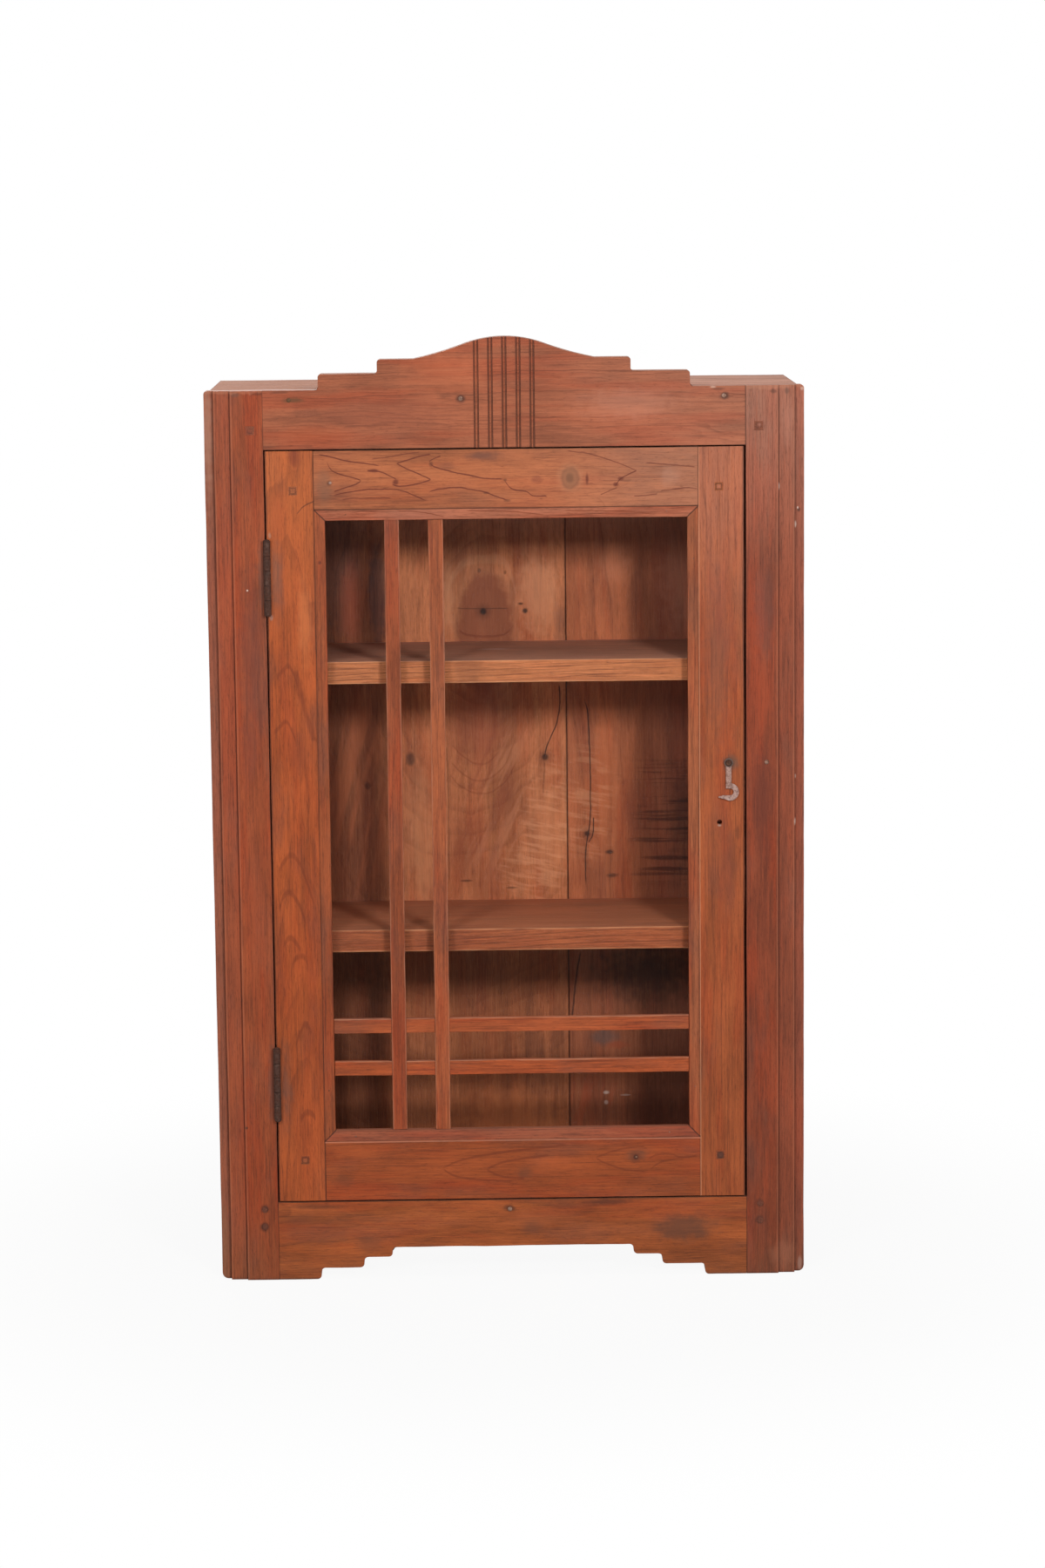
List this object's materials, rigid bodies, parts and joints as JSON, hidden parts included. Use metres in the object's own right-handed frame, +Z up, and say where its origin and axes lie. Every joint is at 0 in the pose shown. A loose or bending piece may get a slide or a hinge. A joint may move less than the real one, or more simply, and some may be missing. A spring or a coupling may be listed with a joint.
{
  "type": "display cupboard",
  "caption": "Free-standing wooden display cupboard with a stepped crest, a glazed door with crossed glazing bars on butt hinges, a turning hook, fixed shelves and an arched apron.",
  "frame": {"origin": "on the floor under the middle of the bounding box", "axes": "+Z up, the front faces -Y, +X to the right of a person facing the front"},
  "size_m": [0.61, 0.2078, 0.98],
  "materials": {
    "case_teak": "old oiled teak, red-brown",
    "door_teak": "old oiled teak, orange-brown",
    "inner_teak": "old unpolished teak",
    "hinge_iron": "dark brown, matt",
    "nail_iron": "dull steel",
    "hook_steel": "dull pinkish-grey steel",
    "glass": "clear"
  },
  "bodies": {
    "case": {"case_stile_left": "case_teak", "case_stile_right": "case_teak", "top_rail": "case_teak", "apron": "case_teak", "side_panel_left": "case_teak", "side_panel_right": "case_teak", "top_board": "case_teak", "bottom_board": "inner_teak", "back_board_left": "inner_teak", "back_board_right": "inner_teak", "shelf_upper": "inner_teak", "shelf_lower": "inner_teak", "case_pegs": "case_teak", "front_nails": "nail_iron", "back_nails": "nail_iron", "hinge_case_screws": "hinge_iron", "upper_hinge_case_leaf": "hinge_iron", "lower_hinge_case_leaf": "hinge_iron", "upper_hinge_pin": "hinge_iron", "lower_hinge_pin": "hinge_iron"},
    "door": {"door_stile_left": "door_teak", "door_stile_right": "door_teak", "door_rail_top": "door_teak", "door_rail_low": "door_teak", "door_pegs": "door_teak", "glazing_bead_left": "door_teak", "glazing_bead_right": "door_teak", "glazing_bead_low": "door_teak", "glazing_bead_top": "door_teak", "bead_pins": "nail_iron", "glazing_bar_first": "door_teak", "glazing_bar_second": "door_teak", "cross_bar_first": "door_teak", "cross_bar_second": "door_teak", "glass_pane": "glass", "hinge_door_screws": "hinge_iron", "upper_hinge_door_leaf": "hinge_iron", "lower_hinge_door_leaf": "hinge_iron", "hook_screw": "hook_steel"},
    "hook": {"hook": "hook_steel"}
  },
  "joints": [
    {"name": "door_swing", "type": "hinge", "parent": "case", "child": "door", "pos_m": [-0.24315, -0.10018, 0.474], "axis": [0, 0, -1], "range_deg": [0, 170]},
    {"name": "hook_turn", "type": "hinge", "parent": "door", "child": "hook", "pos_m": [0.2267, -0.09788, 0.542], "axis": [0, -1, 0], "continuous": true}
  ]
}
